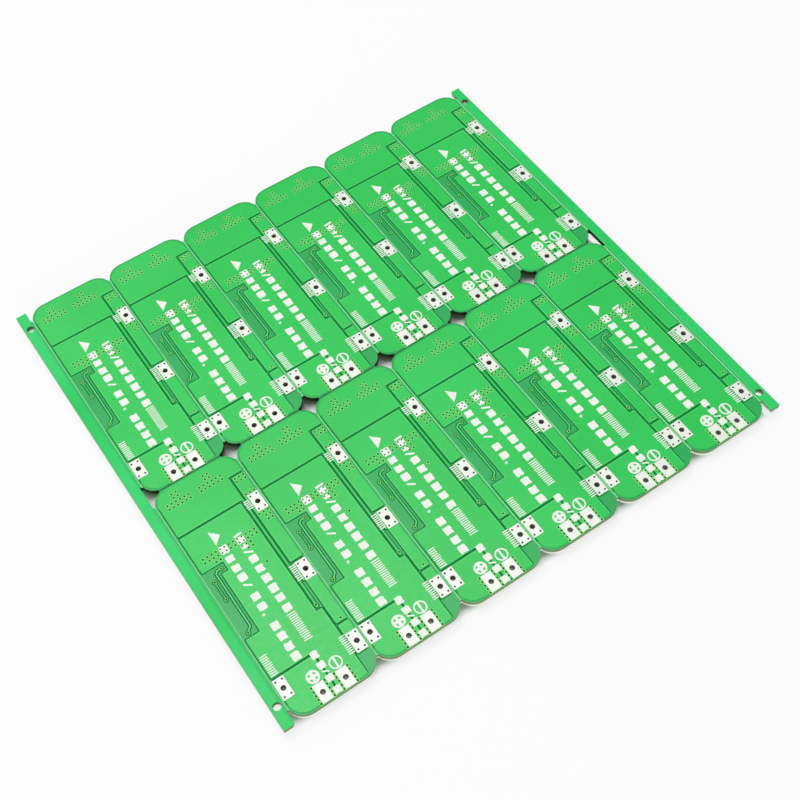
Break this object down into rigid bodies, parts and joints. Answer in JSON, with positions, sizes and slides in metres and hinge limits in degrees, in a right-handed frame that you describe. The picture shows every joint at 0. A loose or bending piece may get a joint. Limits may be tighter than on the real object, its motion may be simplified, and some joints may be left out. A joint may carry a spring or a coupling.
{
  "type": "battery protection board",
  "caption": "Thin rectangular circuit panel of joined battery protection boards with copper areas, plated wire pads, V-scores and side rails.",
  "frame": {"origin": "on the table plane under the middle of the panel", "axes": "+X across the boards, +Y along them towards the ends without output pads, +Z out of the wire-pad side"},
  "size_m": [0.1256, 0.1188, 0.0034],
  "materials": {
    "bare_mask": "gloss",
    "masked_copper": "gloss",
    "tin": "satin",
    "mould": "matte",
    "capacitor": "matte",
    "white_print": "matte",
    "fibreglass": "matte"
  },
  "bodies": {
    "root": {"laminate": "bare_mask", "rail_copper": "masked_copper", "pour_source": "masked_copper", "pour_cell_negative": "masked_copper", "pour_lower_tap": "masked_copper", "pour_upper_tap": "masked_copper", "pour_output_negative": "masked_copper", "pour_positive": "masked_copper", "signal_tracks": "masked_copper", "pad_cell_negative": "tin", "pad_lower_tap": "tin", "pad_upper_tap": "tin", "pad_cell_positive": "tin", "pad_output_positive": "tin", "pad_output_negative": "tin", "underside_pours": "masked_copper", "underside_lands": "tin", "discharge_transistors": "mould", "discharge_transistor_leads": "tin", "charge_transistors": "mould", "charge_transistor_leads": "tin", "protection_chips": "mould", "protection_chip_leads": "tin", "sense_resistors": "mould", "sense_resistor_ends": "tin", "chip_resistors": "mould", "chip_resistor_ends": "tin", "chip_capacitors": "capacitor", "chip_capacitor_ends": "tin"}
  },
  "joints": []
}
